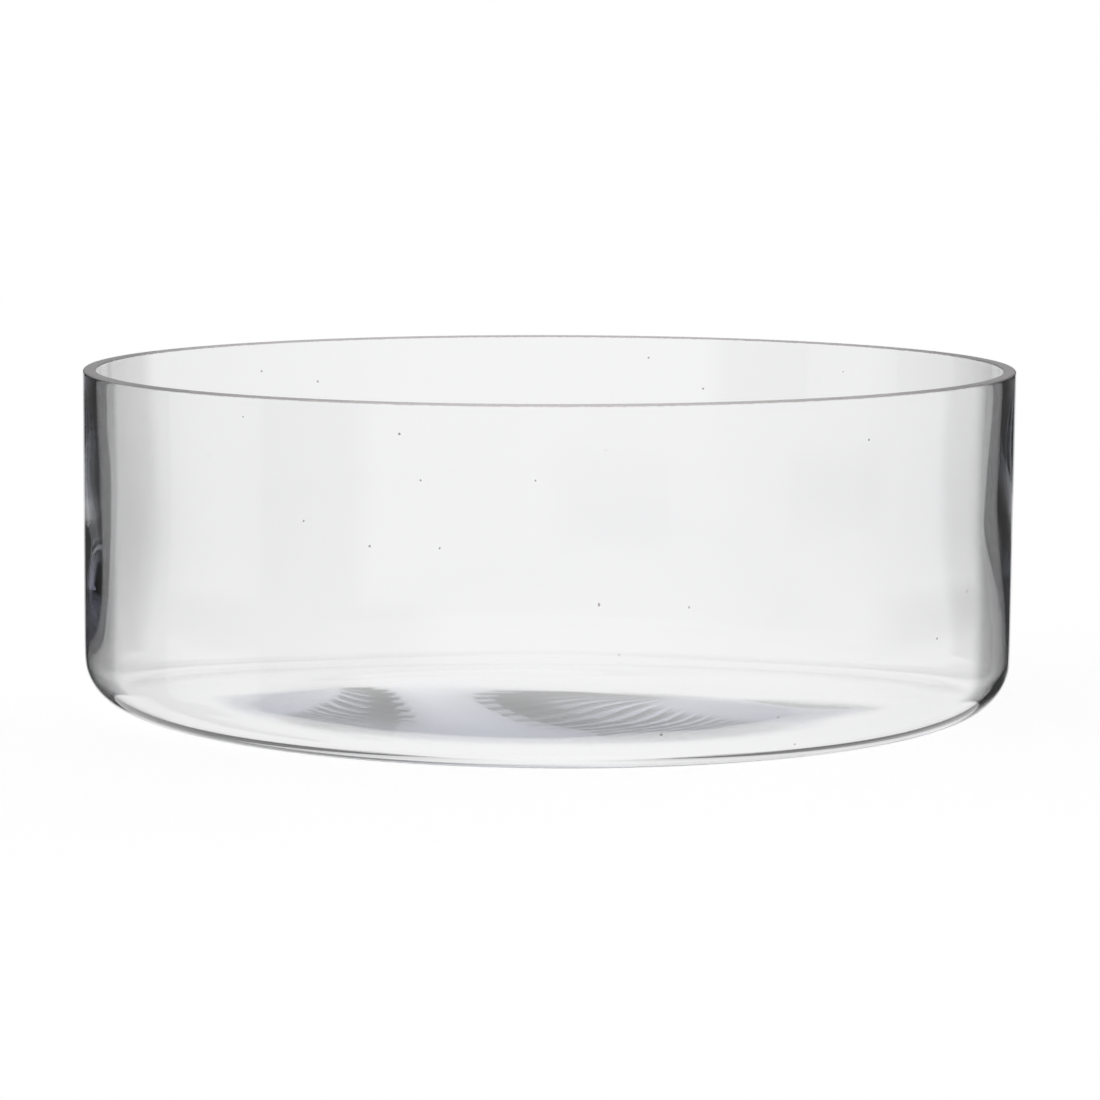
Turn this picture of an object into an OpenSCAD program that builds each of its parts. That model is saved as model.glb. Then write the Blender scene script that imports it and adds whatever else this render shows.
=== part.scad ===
// Wide low bowl, blown in one piece of clear glass, with straight walls,
// a cut and ground rim, a rounded lower corner and a thick-centred base.
// Millimetres, +Z up, origin at the centre of the surface that it stands on.

/* [Bowl] */
// Outer diameter across the wall
outer_d = 280; // [180:1:400]
// Height from the resting ring to the rim
height = 101.5; // [70:0.5:160]
// Outer radius of the rounded corner between wall and base
corner_r = 14; // [8:0.5:22]

/* [Wall] */
// Glass at the rim
rim_wall = 3.8; // [2.5:0.1:6]
// Glass where the wall is thickest
belly_wall = 4.4; // [2.5:0.1:7]
// Glass in the rounded corner and over the resting ring
corner_wall = 2.2; // [1.2:0.1:4]
// Height at which the wall is thickest
belly_z = 62; // [40:1:68]
// Bevel ground on both edges of the rim
rim_bevel = 0.4; // [0.1:0.1:1]

/* [Base] */
// Glass at the centre of the base
centre_thickness = 5.5; // [4:0.1:10]
// Radius at which the thick middle has run out into the thin edge
mound_r = 95; // [60:1:106]
// Flat width of the ring that the bowl stands on
ring_width = 20; // [8:1:40]
// Height of the hollow under the middle of the base
push_up = 1.2; // [0.2:0.1:3]

/* [Hidden] */

// Segments in each round stretch of the outline
corner_steps = 12;
wall_steps = 14;
base_steps = 20;
// Facets of the preview; the solid itself is round
round_fn = 180;

outer_r = outer_d / 2;
ring_outer_r = outer_r - corner_r;
ring_inner_r = ring_outer_r - ring_width;
inner_corner_r = corner_r - corner_wall;

// Clear glass with a faint grey body
glass_colour = [0.82, 0.85, 0.86, 0.35];

// Share of the way from 0 to 1 with level ends
function ease(share) = (1 - cos(180 * share)) / 2;
function blend(from, to, share) = from + (to - from) * ease(share);

// Glass across the wall at height z
function wall_at(z) = z > belly_z
    ? blend(belly_wall, rim_wall, (z - belly_z) / (height - belly_z))
    : blend(corner_wall, belly_wall, (z - corner_r) / (belly_z - corner_r));

// Underside of the base at radius r: flat ring, then a shallow hollow
function under_at(r) = r > ring_inner_r ? 0 : push_up * ease(1 - r / ring_inner_r);

// Glass through the base at radius r: a low mound on an even sheet
function base_at(r) = blend(centre_thickness, corner_wall, min(1, r / mound_r));

under_line = [for (i = [0 : base_steps]) let (r = ring_inner_r * i / base_steps) [r, under_at(r)]];

outer_corner = [for (i = [0 : corner_steps]) let (a = 90 * i / corner_steps)
    [ring_outer_r + corner_r * sin(a), corner_r - corner_r * cos(a)]];

rim_line = [
    [outer_r, height - rim_bevel],
    [outer_r - rim_bevel, height],
    [outer_r - rim_wall + rim_bevel, height]
];

// Inner wall from the rim down to the corner
inner_wall = [for (i = [0 : wall_steps])
    let (z = height - rim_bevel - (height - rim_bevel - corner_r) * i / wall_steps)
    [outer_r - wall_at(z), z]];

// The last point of the wall is the first of the corner, so the corner starts one step on
inner_corner = [for (i = [1 : corner_steps]) let (a = 90 * i / corner_steps)
    [ring_outer_r + inner_corner_r * cos(a), corner_r - inner_corner_r * sin(a)]];

// Inner floor from the corner to the centre
floor_line = [for (i = [1 : base_steps]) let (r = ring_outer_r * (1 - i / base_steps))
    [r, under_at(r) + base_at(r)]];

// The bowl: one closed skin of glass, turned about Z
module bowl() {
    color(glass_colour)
        rotate_extrude($fn = round_fn)
            polygon(concat(under_line, outer_corner, rim_line, inner_wall, inner_corner, floor_line));
}

bowl();
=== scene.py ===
"""Looks of a wide low bowl of clear blown glass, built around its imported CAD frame.

Lengths are in metres in the part's own frame: +Z up, the origin at the centre of the surface
that the bowl stands on, and the photograph taken from the -Y side.
"""

import logging
import math
from dataclasses import dataclass
from enum import Enum
from typing import Mapping, Sequence, Union

import bpy
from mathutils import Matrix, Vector


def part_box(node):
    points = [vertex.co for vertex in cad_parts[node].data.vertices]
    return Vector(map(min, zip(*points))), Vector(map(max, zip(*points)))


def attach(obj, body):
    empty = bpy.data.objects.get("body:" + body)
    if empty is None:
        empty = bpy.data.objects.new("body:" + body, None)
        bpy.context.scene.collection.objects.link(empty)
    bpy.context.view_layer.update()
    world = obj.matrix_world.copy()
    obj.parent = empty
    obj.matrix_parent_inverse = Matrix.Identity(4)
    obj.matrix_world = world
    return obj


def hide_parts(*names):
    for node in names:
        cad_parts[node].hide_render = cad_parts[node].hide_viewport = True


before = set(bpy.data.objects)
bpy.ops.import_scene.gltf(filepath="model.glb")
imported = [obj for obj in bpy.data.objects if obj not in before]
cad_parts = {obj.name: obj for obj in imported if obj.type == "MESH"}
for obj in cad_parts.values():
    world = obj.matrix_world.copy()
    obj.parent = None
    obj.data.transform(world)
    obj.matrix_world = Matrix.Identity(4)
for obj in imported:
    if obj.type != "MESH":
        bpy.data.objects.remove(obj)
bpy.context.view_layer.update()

MM = 0.001
LIGHT_STEPS = 96
# Near enough to the inner side of the wall to find its points
INNER_SKIN_R = 136.0 * MM
LOG = logging.getLogger("glass_bowl")


class RayKind(Enum):
    """Outputs of the Light Path node that tell one kind of ray from another."""

    CAMERA = "Is Camera Ray"
    GLOSSY = "Is Glossy Ray"
    TRANSMISSION = "Is Transmission Ray"
    SURFACES_PASSED = "Transmission Depth"
    TURNS_TAKEN = "Ray Depth"


class Number:
    """A number that flows through a shader, so that sums on it read as Python."""

    def __init__(self, board: "NodeBoard", socket: bpy.types.NodeSocket) -> None:
        """Keeps the socket and the board that new Math nodes go on."""
        self.board = board
        self.socket = socket

    def _math(self, operation: str, *terms: "Term") -> "Number":
        """Adds one Math node.

        Args:
            operation: the Math node's operation.
            terms: its inputs, in order.

        Returns:
            The node's result.
        """
        return self.board.number("ShaderNodeMath", {"operation": operation}, dict(enumerate(terms)))

    def __add__(self, other: "Term") -> "Number":
        """Sum of two terms."""
        return self._math("ADD", self, other)

    __radd__ = __add__

    def __sub__(self, other: "Term") -> "Number":
        """This number less the other."""
        return self._math("SUBTRACT", self, other)

    def __rsub__(self, other: "Term") -> "Number":
        """The other term less this number."""
        return self._math("SUBTRACT", other, self)

    def __mul__(self, other: "Term") -> "Number":
        """Product of two terms."""
        return self._math("MULTIPLY", self, other)

    __rmul__ = __mul__

    def folded(self, half_period: float) -> "Number":
        """Distance from the nearest whole multiple of twice half_period."""
        return self._math("PINGPONG", self, half_period)

    def largest(self, other: "Term") -> "Number":
        """The larger of two terms."""
        return self._math("MAXIMUM", self, other)

    def smallest(self, other: "Term") -> "Number":
        """The smaller of two terms."""
        return self._math("MINIMUM", self, other)

    def angle_from(self, other: "Term") -> "Number":
        """Arc tangent of this number over the other, in radians."""
        return self._math("ARCTAN2", self, other)

    def above(self, other: "Term") -> "Number":
        """1 where this number is larger than the other, and 0 elsewhere."""
        return self._math("GREATER_THAN", self, other)

    def arcsine(self) -> "Number":
        """Angle in radians whose sine this number is."""
        return self._math("ARCSINE", self)

    def rising(self, low: float, high: float) -> "Number":
        """Smooth step from 0 below low to 1 above high."""
        return self.board.number(
            "ShaderNodeMapRange",
            {"interpolation_type": "SMOOTHSTEP"},
            {"Value": self, "From Min": low, "From Max": high, "To Min": 0.0, "To Max": 1.0},
        )


Term = Union[Number, float]
Shade = tuple[float, float, float, float]
Span = tuple[float, float]
Place = tuple[float, float, float]


class NodeBoard:
    """The node tree of a material or of the world, emptied and ready for new nodes."""

    def __init__(self, owner: Union[bpy.types.Material, bpy.types.World]) -> None:
        """Empties the owner's node tree."""
        owner.use_nodes = True
        self.tree = owner.node_tree
        self.tree.nodes.clear()

    def node(
        self,
        kind: str,
        settings: Mapping[str, object] | None = None,
        inputs: Mapping[Union[str, int], object] | None = None,
    ) -> bpy.types.Node:
        """Adds a node.

        Args:
            kind: the node's type name.
            settings: attributes, set before any input.
            inputs: values, Numbers or sockets by input name or place.

        Returns:
            The new node.
        """
        made = self.tree.nodes.new(kind)
        for name, setting in (settings or {}).items():
            setattr(made, name, setting)
        for name, given in (inputs or {}).items():
            if isinstance(given, Number):
                self.tree.links.new(given.socket, made.inputs[name])
            elif isinstance(given, bpy.types.NodeSocket):
                self.tree.links.new(given, made.inputs[name])
            else:
                made.inputs[name].default_value = given
        return made

    def number(
        self,
        kind: str,
        settings: Mapping[str, object] | None = None,
        inputs: Mapping[Union[str, int], object] | None = None,
        output: Union[str, int] = 0,
    ) -> Number:
        """Adds a node and returns one of its outputs as a Number."""
        return Number(self, self.node(kind, settings, inputs).outputs[output])

    def ray(self, kind: RayKind) -> Number:
        """What the Light Path node says of a ray, mostly 1 on rays of a kind and 0 on others."""
        return self.number("ShaderNodeLightPath", output=kind.value)


@dataclass(frozen=True)
class GlassFinish:
    """Clear soda-lime glass with a ground rim.

    The ground face is matt, and its grey-brown tint is painted shade that darkens it, so that it lets
    little light through. Its edge is ragged where the grinding chipped the glass. A few small dark
    specks are painted on the skin of the glass, one at most in each cell of their grid.
    """

    name: str = "clear_glass"
    tint: Shade = (1.0, 1.0, 1.0, 1.0)
    # Painted shade: a grey-brown tint that darkens the matt ground rim
    ground_painted_shade: Shade = (0.62, 0.57, 0.55, 1.0)
    ground_sheen: float = 0.15
    ground_roughness: float = 0.45
    ground_depth: float = 0.5 * MM
    chip_size: float = 1.2 * MM
    chip_depth: float = 0.5 * MM
    speck_tint: Shade = (0.16, 0.14, 0.13, 1.0)
    speck_cell: float = 16.0 * MM
    speck_radius: float = 0.42 * MM
    ior: float = 1.5
    smoke: Shade = (0.6, 0.62, 0.7, 1.0)
    smoke_density: float = 12.0

    def material(self, rim_z: float, radius: float, lean: float) -> bpy.types.Material:
        """Makes the material.

        Args:
            rim_z: height of the ground rim on the +X side.
            radius: outer radius of the bowl.
            lean: how much lower the rim is on the -X side.

        Returns:
            The glass.
        """
        glass = bpy.data.materials.new(self.name)
        board = NodeBoard(glass)
        place = board.node("ShaderNodeTexCoord").outputs["Object"]
        parts = board.node("ShaderNodeSeparateXYZ", inputs={"Vector": place})
        # How far the lean has lowered the rim at each place across
        fallen = (radius - Number(board, parts.outputs["X"])) * (0.5 * lean / radius)
        height = Number(board, parts.outputs["Z"]) + fallen
        chips = board.number(
            "ShaderNodeTexNoise",
            inputs={"Vector": place, "Scale": 1.0 / self.chip_size, "Detail": 2.0},
            output="Fac",
        )
        edge = height + (chips - 0.5) * self.chip_depth
        rim_mask = edge.rising(rim_z - 1.1 * self.ground_depth, rim_z - 0.9 * self.ground_depth)
        # The ground rim's grey-brown tint is painted shade laid over the matt ground face
        colour = board.node(
            "ShaderNodeMix",
            {"data_type": "RGBA"},
            {"Factor": rim_mask, "A": self.tint, "B": self.ground_painted_shade},
        )
        # Small dark specks painted into the colour, one at most in each cell of their grid
        off_speck = board.number(
            "ShaderNodeTexVoronoi",
            inputs={"Vector": place, "Scale": 1.0 / self.speck_cell},
            output="Distance",
        )
        share = self.speck_radius / self.speck_cell
        specks = 1.0 - off_speck.rising(0.8 * share, share)
        colour = board.node(
            "ShaderNodeMix",
            {"data_type": "RGBA"},
            {"Factor": specks, "A": colour.outputs["Result"], "B": self.speck_tint},
        )
        shader = board.node(
            "ShaderNodeBsdfPrincipled",
            inputs={
                "Base Color": colour.outputs["Result"],
                "Roughness": rim_mask * self.ground_roughness,
                "Metallic": rim_mask * self.ground_sheen,
                "IOR": self.ior,
                "Transmission Weight": 1.0,
            },
        )
        volume = board.node(
            "ShaderNodeVolumeAbsorption",
            inputs={"Color": self.smoke, "Density": self.smoke_density},
        )
        board.node(
            "ShaderNodeOutputMaterial",
            inputs={"Surface": shader.outputs["BSDF"], "Volume": volume.outputs["Volume"]},
        )
        return glass


@dataclass(frozen=True)
class Swell:
    """A place where the inner skin of the glass strays from an even shape.

    The point of the inner skin nearest to place moves by push, and the skin within reach of it
    follows softly.
    """

    place: Place
    push: Place
    reach: float


def wall_swell(turn_deg: float, height: float, thicker: float, reach: float) -> Swell:
    """Swell of the wall.

    Args:
        turn_deg: where it is round the bowl, from +X towards +Y.
        height: where it is above the table.
        thicker: glass added to the wall there.
        reach: how far from there it is felt.

    Returns:
        The swell.
    """
    outwards = Vector((math.cos(math.radians(turn_deg)), math.sin(math.radians(turn_deg)), 0.0))
    place = outwards * INNER_SKIN_R
    return Swell((place.x, place.y, height), tuple(outwards * -thicker), reach)


def eased(share: float) -> float:
    """Share of the way from 0 to 1 with level ends."""
    return (1.0 - math.cos(math.pi * min(max(share, 0.0), 1.0))) / 2.0


def blended(start: float, end: float, share: float) -> float:
    """Value between start and end at an eased share of the way."""
    return start + (end - start) * eased(share)


@dataclass
class Bowl:
    """The blown glass bowl, one closed skin of glass.

    The names that part.scad has too mean the same here. The first swell draws the thick middle
    of the base off the axis, and the others make the wall on the -X side less even.
    """

    corner_r: float = 14.0 * MM
    rim_wall: float = 3.8 * MM
    belly_wall: float = 4.4 * MM
    corner_wall: float = 2.2 * MM
    belly_z: float = 58.0 * MM
    rim_bevel: float = 0.4 * MM
    centre_thickness: float = 6.5 * MM
    mound_r: float = 110.0 * MM
    ring_width: float = 20.0 * MM
    push_up: float = 1.2 * MM
    lean: float = 1.8 * MM
    swells: tuple[Swell, ...] = (
        Swell((0.0, 0.0, 6.7 * MM), (-30.0 * MM, -3.0 * MM, 0.0), 110.0 * MM),
        wall_swell(171.0, 31.0 * MM, 0.55 * MM, 40.0 * MM),
        wall_swell(191.0, 31.0 * MM, 0.55 * MM, 40.0 * MM),
        wall_swell(175.0, 8.0 * MM, -0.5 * MM, 28.0 * MM),
        wall_swell(189.0, 8.0 * MM, -0.5 * MM, 28.0 * MM),
    )
    wave: float = 0.1 * MM
    wave_size: float = 30.0 * MM
    rim_hold: float = 0.2 * MM
    columns: int = 64
    under_steps: int = 10
    corner_steps: int = 8
    outer_steps: int = 6
    wall_steps: int = 20
    floor_steps: int = 34
    smoothing: int = 2

    def __post_init__(self) -> None:
        """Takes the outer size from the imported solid, and works out what follows from it."""
        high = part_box("bowl")[1]
        self.outer_r = min(high[0], high[1])
        self.height = high[2]
        self.ring_outer_r = self.outer_r - self.corner_r
        self.ring_inner_r = self.ring_outer_r - self.ring_width
        self.rim_low = self.height - self.rim_bevel - self.rim_hold

    def wall_at(self, height: float) -> float:
        """Glass across the wall at a height."""
        if height > self.belly_z:
            share = (height - self.belly_z) / (self.height - self.belly_z)
            return blended(self.belly_wall, self.rim_wall, share)
        share = (height - self.corner_r) / (self.belly_z - self.corner_r)
        return blended(self.corner_wall, self.belly_wall, share)

    def under_at(self, radius: float) -> float:
        """Height of the underside at a radius: a flat ring and a shallow hollow."""
        if radius > self.ring_inner_r:
            return 0.0
        return self.push_up * eased(1.0 - radius / self.ring_inner_r)

    def floor_at(self, radius: float) -> float:
        """Height of the inner floor at a radius."""
        thick = blended(self.centre_thickness, self.corner_wall, radius / self.mound_r)
        return self.under_at(radius) + thick

    def corner_point(self, arc_r: float, share: float) -> Span:
        """Point of the round corner, at a share of the way from the ring up to the wall."""
        turn = 0.5 * math.pi * share
        return (
            self.ring_outer_r + arc_r * math.sin(turn),
            self.corner_r - arc_r * math.cos(turn),
        )

    def outer_line(self) -> list[Span]:
        """Radius and height of each point from the middle of the underside up to the rim."""
        radii = [self.ring_inner_r * i / self.under_steps for i in range(self.under_steps + 1)]
        points = [(r, self.under_at(r)) for r in radii]
        points.append((self.ring_inner_r + 0.5 * self.ring_width, 0.0))
        for i in range(self.corner_steps + 1):
            points.append(self.corner_point(self.corner_r, i / self.corner_steps))
        rise = self.rim_low - self.corner_r
        for i in range(1, self.outer_steps + 1):
            points.append((self.outer_r, self.corner_r + rise * i / self.outer_steps))
        return points

    def rim_line(self) -> list[Span]:
        """Radius and height of each point of the rim, with points that hold its two bevels."""
        inner_r = self.outer_r - self.rim_wall
        return [
            (self.outer_r, self.height - self.rim_bevel),
            (self.outer_r - self.rim_bevel, self.height),
            (self.outer_r - self.rim_bevel - self.rim_hold, self.height),
            (0.5 * (self.outer_r + inner_r), self.height),
            (inner_r + self.rim_bevel + self.rim_hold, self.height),
            (inner_r + self.rim_bevel, self.height),
            (inner_r, self.height - self.rim_bevel),
        ]

    def inner_line(self) -> list[Span]:
        """Radius and height of each point from the rim down to the middle of the floor."""
        points = []
        for i in range(self.wall_steps + 1):
            z = self.rim_low + (self.corner_r - self.rim_low) * i / self.wall_steps
            points.append((self.outer_r - self.wall_at(z), z))
        for i in range(1, self.corner_steps + 1):
            arc_r = self.corner_r - self.corner_wall
            points.append(self.corner_point(arc_r, 1.0 - i / self.corner_steps))
        for i in range(1, self.floor_steps + 1):
            r = self.ring_outer_r * (1.0 - i / self.floor_steps)
            points.append((r, self.floor_at(r)))
        return points

    def spin_skin(self) -> bpy.types.Object:
        """Draws the section point by point and spins it round the axis.

        Returns:
            The coarse closed skin.
        """
        bpy.ops.object.select_all(action="DESELECT")
        bpy.ops.mesh.primitive_plane_add(size=self.corner_r, location=(0.0, 0.0, 0.0))
        skin = bpy.context.object
        skin.name = "bowl_glass"
        skin.data.name = "bowl_glass"
        # A cage column sits a little outside the smoothed circle that it makes
        grow = 1.0 / (1.0 - (1.0 - math.cos(2.0 * math.pi / self.columns)) / 3.0)
        section = self.outer_line() + self.rim_line() + self.inner_line()
        points = [(r * grow, z) for r, z in section]
        bpy.ops.object.mode_set(mode="EDIT")
        bpy.ops.mesh.select_all(action="SELECT")
        bpy.ops.mesh.merge(type="CENTER")
        bpy.ops.transform.translate(value=(points[0][0], 0.0, points[0][1]))
        for (r0, z0), (r1, z1) in zip(points, points[1:]):
            bpy.ops.mesh.extrude_vertices_move(TRANSFORM_OT_translate={"value": (r1 - r0, 0.0, z1 - z0)})
        bpy.ops.mesh.select_all(action="SELECT")
        bpy.ops.mesh.spin(
            steps=self.columns, angle=2.0 * math.pi, center=(0.0, 0.0, 0.0), axis=(0.0, 0.0, 1.0)
        )
        bpy.ops.mesh.select_all(action="SELECT")
        bpy.ops.mesh.remove_doubles(threshold=0.01 * MM)
        bpy.ops.mesh.normals_make_consistent(inside=False)
        bpy.ops.object.mode_set(mode="OBJECT")
        return skin

    def leave_inner_skin(self, skin: bpy.types.Object) -> None:
        """Hides all but the inner skin, whose points face the space in the bowl.

        Nothing is selected at first, because selected faces would select their points again.
        """
        bpy.ops.object.mode_set(mode="EDIT")
        bpy.ops.mesh.select_all(action="DESELECT")
        bpy.ops.object.mode_set(mode="OBJECT")
        middle = Vector((0.0, 0.0, 0.5 * self.height))
        for point in skin.data.vertices:
            point.select = point.normal.dot(middle - point.co) > 0.0
        inner = [point.index for point in skin.data.vertices if point.select]
        skin.vertex_groups.new(name="inner_skin").add(inner, 1.0, "REPLACE")
        bpy.ops.object.mode_set(mode="EDIT")
        bpy.ops.mesh.hide(unselected=True)
        bpy.ops.object.mode_set(mode="OBJECT")

    def apply_swells(self, skin: bpy.types.Object) -> None:
        """Draws the inner skin off its even shape, one swell after another.

        Args:
            skin: the coarse closed skin.
        """
        self.leave_inner_skin(skin)
        for swell in self.swells:
            place = Vector(swell.place)
            bpy.ops.object.mode_set(mode="EDIT")
            bpy.ops.mesh.select_all(action="DESELECT")
            bpy.ops.object.mode_set(mode="OBJECT")
            inner = [point for point in skin.data.vertices if not point.hide]
            nearest = min(inner, key=lambda point: (point.co - place).length)
            nearest.select = True
            bpy.ops.object.mode_set(mode="EDIT")
            bpy.ops.transform.translate(
                value=swell.push,
                use_proportional_edit=True,
                proportional_edit_falloff="SMOOTH",
                proportional_size=swell.reach,
            )
            bpy.ops.object.mode_set(mode="OBJECT")
        bpy.ops.object.mode_set(mode="EDIT")
        bpy.ops.mesh.reveal(select=False)
        bpy.ops.object.mode_set(mode="OBJECT")

    def apply_waves(self, skin: bpy.types.Object) -> None:
        """Gives the inner skin the low, soft waves of glass that was blown by mouth."""
        cloud = bpy.data.textures.new("waves", "CLOUDS")
        cloud.noise_scale = self.wave_size
        cloud.noise_depth = 1
        waves = skin.modifiers.new("waves", "DISPLACE")
        waves.texture = cloud
        waves.strength = self.wave
        waves.mid_level = 0.5
        waves.vertex_group = "inner_skin"
        bpy.ops.object.modifier_apply(modifier=waves.name)

    def tilt_rim(self, skin: bpy.types.Object) -> None:
        """Lowers the rim on the -X side with a straight-edged cage, the base staying level."""
        bpy.ops.object.add(type="LATTICE", location=(0.0, 0.0, 0.5 * self.height))
        cage = bpy.context.object
        cage.scale = (2.0 * self.outer_r, 2.0 * self.outer_r, self.height)
        lattice = cage.data
        lattice.interpolation_type_u = "KEY_LINEAR"
        lattice.interpolation_type_v = "KEY_LINEAR"
        lattice.interpolation_type_w = "KEY_LINEAR"
        for corner in lattice.points:
            if corner.co.x < 0.0 and corner.co.z > 0.0:
                corner.co_deform.z -= self.lean / self.height
        bpy.ops.object.select_all(action="DESELECT")
        skin.select_set(True)
        bpy.context.view_layer.objects.active = skin
        tilt = skin.modifiers.new("tilt", "LATTICE")
        tilt.object = cage
        bpy.ops.object.modifier_apply(modifier=tilt.name)
        bpy.data.objects.remove(cage)

    def build(self, finish: GlassFinish) -> bpy.types.Object:
        """Models the bowl and gives it its glass.

        Args:
            finish: the glass.

        Returns:
            The finished piece.
        """
        skin = self.spin_skin()
        self.apply_swells(skin)
        self.apply_waves(skin)
        self.tilt_rim(skin)
        smooth = skin.modifiers.new("smooth", "SUBSURF")
        smooth.levels = self.smoothing
        smooth.render_levels = self.smoothing
        bpy.ops.object.modifier_apply(modifier=smooth.name)
        bpy.ops.object.shade_smooth()
        skin.data.materials.append(finish.material(self.height, self.outer_r, self.lean))
        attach(skin, "root")
        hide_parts("bowl")
        LOG.info("bowl_glass: %d faces", len(skin.data.polygons))
        return skin


@dataclass(frozen=True)
class Backdrop:
    """A white backdrop between two dark flags, as the glass sees it from one side.

    It stands opposite the viewer, at azimuth_deg from +Y towards +X, and is seen by rays that
    climb at low_deg to high_deg. Its brightness is centre in the middle and falls off to the
    sides. It gives way to its flags between the two angles of flag_start_deg, and they to white
    between those of flag_end_deg. All of it fades within soft_deg of its lower and upper end.
    Rays that went through the whole bowl see nothing in it that is darker than veil.
    """

    azimuth_deg: float
    low_deg: float
    high_deg: float
    flag_start_deg: Span = (15.6, 16.9)
    flag_end_deg: Span = (39.0, 49.0)
    soft_deg: float = 2.0
    veil: float = 0.0
    centre: float = 0.92
    fall_at_10_deg: float = 0.156


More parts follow.
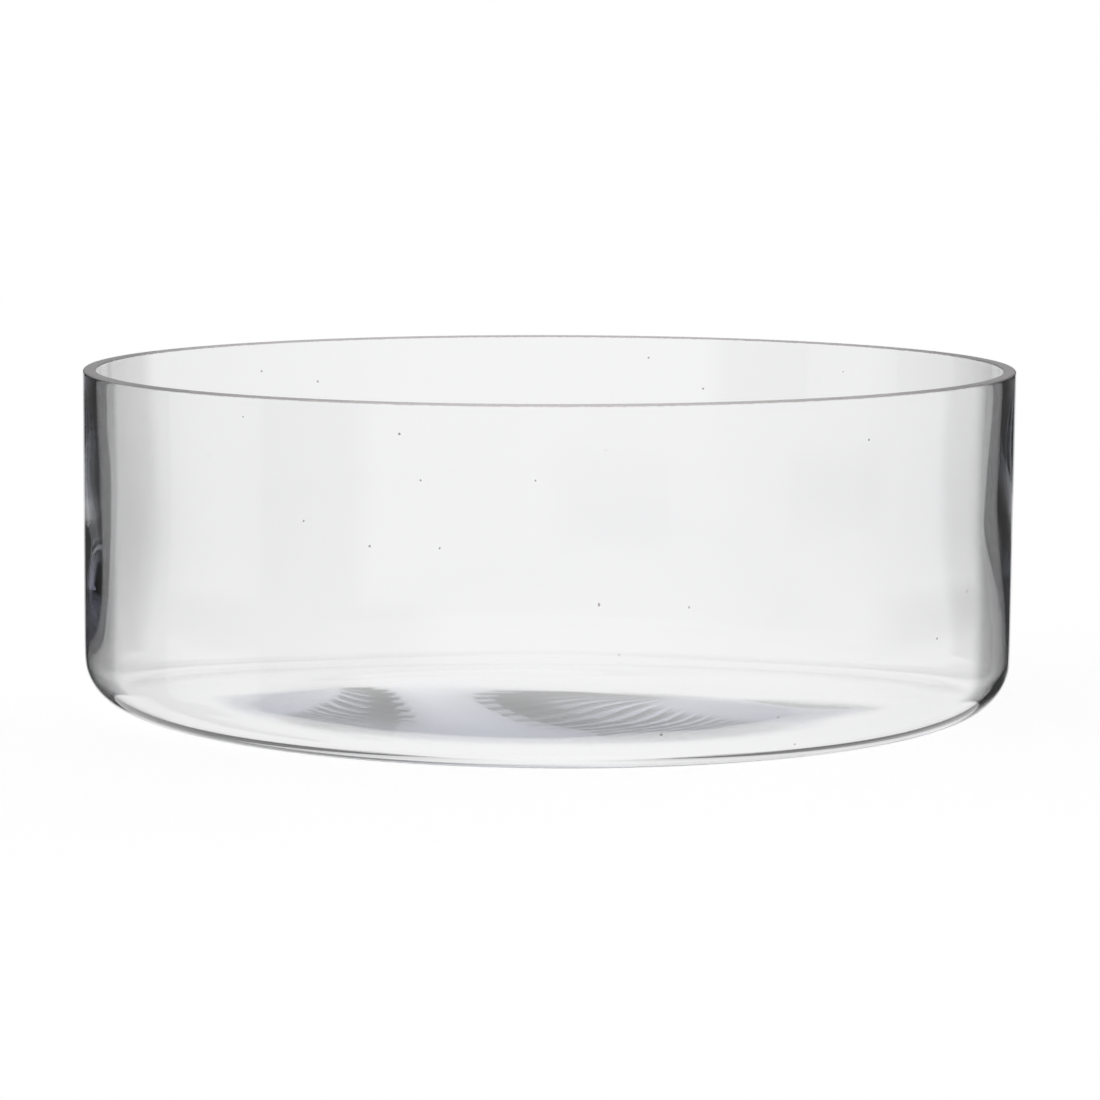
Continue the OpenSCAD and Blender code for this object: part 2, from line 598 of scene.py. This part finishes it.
@dataclass
class Studio:
    """White surroundings with dark flags for the glass, and a pale floor.

    The first backdrop is mirrored in the outside of the glass too, and the others are only seen
    through it. The first four are for a viewer at the photograph's side, -Y: level with the
    bowl, above it, to the left above it, and below it. The next two are for a viewer at the +X
    side, and the last two for viewers at two corners. The floor and the surroundings are white
    to the camera, and fill_light is what they give to all else that isn't glass. Rising light
    that was turned more often than haze_turns in the glass sees a level of haze.
    """

    backdrops: Sequence[Backdrop] = (
        Backdrop(0.0, -20.5, 9.0, (15.5, 15.9), (44.0, 54.0), soft_deg=0.5),
        Backdrop(0.0, 2.0, 75.0, (10.5, 12.0), (20.0, 50.0)),
        Backdrop(
            -30.0, 2.0, 75.0, (40.5, 42.0), (110.0, 130.0), veil=0.85, centre=1.0, fall_at_10_deg=0.0
        ),
        Backdrop(0.0, -60.0, -19.5, flag_end_deg=(29.0, 31.0), soft_deg=0.5),
        Backdrop(-90.0, -20.5, 75.0, veil=0.85),
        Backdrop(-90.0, -60.0, -19.5, flag_end_deg=(29.0, 31.0), veil=0.85),
        Backdrop(-45.0, -33.0, -18.0, veil=0.8),
        Backdrop(135.0, -22.0, -9.0, veil=0.8),
    )
    white: float = 1.0
    haze: float = 0.85
    haze_turns: Span = (20.0, 32.0)
    haze_climb_deg: Span = (3.0, 8.0)
    flag_grey: float = 0.035
    fill_light: float = 0.25
    floor_size: float = 4.0
    floor_grey: float = 0.8

    def seen_over(self, backdrop: Backdrop, turn: Number, climb: Number, deep: Number) -> Number:
        """Brightness that one backdrop and its flags give to a ray.

        Args:
            backdrop: where it stands.
            turn: azimuth of the ray, in radians from +Y towards +X.
            climb: elevation of the ray, in radians.
            deep: 1 on rays that went through the whole bowl.

        Returns:
            The brightness, which is plain white away from the backdrop.
        """
        off = (turn - math.radians(backdrop.azimuth_deg)).folded(math.pi)
        share = off * (1.0 / math.radians(10.0))
        sheet = (backdrop.centre - share * share * backdrop.fall_at_10_deg).largest(self.flag_grey)
        flag = off.rising(*map(math.radians, backdrop.flag_start_deg))
        beyond = off.rising(*map(math.radians, backdrop.flag_end_deg))
        screen = (sheet + flag * (self.flag_grey - sheet)).largest(deep * backdrop.veil)
        screen = screen + beyond * (self.white - screen)
        soft = backdrop.soft_deg
        above = climb.rising(
            math.radians(backdrop.low_deg - soft), math.radians(backdrop.low_deg + soft)
        )
        below = 1.0 - climb.rising(
            math.radians(backdrop.high_deg - soft), math.radians(backdrop.high_deg + soft)
        )
        return self.white + above * below * (screen - self.white)

    def light_world(self) -> None:
        """Lights the world: white to the camera, backdrops and flags to the glass."""
        world = bpy.data.worlds.new("studio")
        bpy.context.scene.world = world
        board = NodeBoard(world)
        aim = board.node("ShaderNodeTexCoord").outputs["Generated"]
        parts = board.node("ShaderNodeSeparateXYZ", inputs={"Vector": aim})
        across = Number(board, parts.outputs["X"])
        along = Number(board, parts.outputs["Y"])
        turn = across.angle_from(along)
        climb = Number(board, parts.outputs["Z"]).arcsine()
        # One wall has two surfaces, so a ray that passed more than two is in the far wall
        deep = board.ray(RayKind.SURFACES_PASSED).above(2.5)
        in_glass = self.seen_over(self.backdrops[0], turn, climb, deep)
        mirrored = in_glass
        for backdrop in self.backdrops[1:]:
            in_glass = in_glass.smallest(self.seen_over(backdrop, turn, climb, deep))
        # Rising light that was turned in the glass many times has lost the edges of the flags
        lost = board.ray(RayKind.TURNS_TAKEN).rising(*self.haze_turns)
        rises = climb.rising(*map(math.radians, self.haze_climb_deg))
        in_glass = in_glass.largest(lost * rises * self.haze)
        camera = board.ray(RayKind.CAMERA)
        through = board.ray(RayKind.TRANSMISSION)
        # A ray that a polished glass lets through counts as glossy too
        glossy = board.ray(RayKind.GLOSSY) * (1.0 - through)
        other = 1.0 - camera - glossy - through
        level = camera * self.white + glossy * mirrored + through * in_glass + other * self.fill_light
        background = board.node("ShaderNodeBackground", inputs={"Color": (1, 1, 1, 1), "Strength": level})
        board.node("ShaderNodeOutputWorld", inputs={"Surface": background.outputs["Background"]})

    def lay_floor(self) -> bpy.types.Object:
        """Lays the pale floor that the bowl stands on."""
        bpy.ops.object.select_all(action="DESELECT")
        bpy.ops.mesh.primitive_plane_add(size=self.floor_size, location=(0.0, 0.0, 0.0))
        floor = bpy.context.object
        floor.name = "floor"
        floor.visible_transmission = False
        floor.visible_glossy = False
        paper = bpy.data.materials.new("floor_paper")
        board = NodeBoard(paper)
        camera = board.ray(RayKind.CAMERA)
        shader = board.node(
            "ShaderNodeBsdfPrincipled",
            inputs={
                "Base Color": (self.floor_grey, self.floor_grey, self.floor_grey, 1.0),
                "Roughness": 1.0,
                "Specular IOR Level": 0.0,
                "Emission Color": (1.0, 1.0, 1.0, 1.0),
                "Emission Strength": camera * (1.0 - self.floor_grey * self.fill_light),
            },
        )
        board.node("ShaderNodeOutputMaterial", inputs={"Surface": shader.outputs["BSDF"]})
        floor.data.materials.append(paper)
        return floor


@dataclass
class PhotoCamera:
    """The camera at the photograph's viewing angle."""

    distance: float = 1.182
    height: float = 0.189
    pitch_deg: float = 6.965
    roll_deg: float = -0.48
    yaw_deg: float = 0.03
    lens: float = 128.35

    def place(self) -> bpy.types.Object:
        """Adds the camera and makes it the scene's own."""
        bpy.ops.object.select_all(action="DESELECT")
        bpy.ops.object.camera_add(
            location=(0.0, -self.distance, self.height),
            rotation=(
                math.radians(90.0 - self.pitch_deg),
                math.radians(self.roll_deg),
                math.radians(self.yaw_deg),
            ),
        )
        camera = bpy.context.object
        camera.name = "photo_camera"
        camera.data.lens = self.lens
        camera.data.sensor_width = 36.0
        bpy.context.scene.camera = camera
        return camera


def main() -> None:
    """Builds the bowl, its surroundings and the camera."""
    logging.basicConfig(level=logging.INFO, format="%(name)s: %(message)s")
    scene = bpy.context.scene
    scene.view_settings.view_transform = "Standard"
    # Light that is caught in the base of the bowl crosses it in many small steps
    scene.cycles.max_bounces = LIGHT_STEPS
    scene.cycles.transmission_bounces = LIGHT_STEPS
    scene.cycles.glossy_bounces = LIGHT_STEPS
    Bowl().build(GlassFinish())
    studio = Studio()
    studio.light_world()
    studio.lay_floor()
    PhotoCamera().place()


if __name__ == "__main__":
    main()
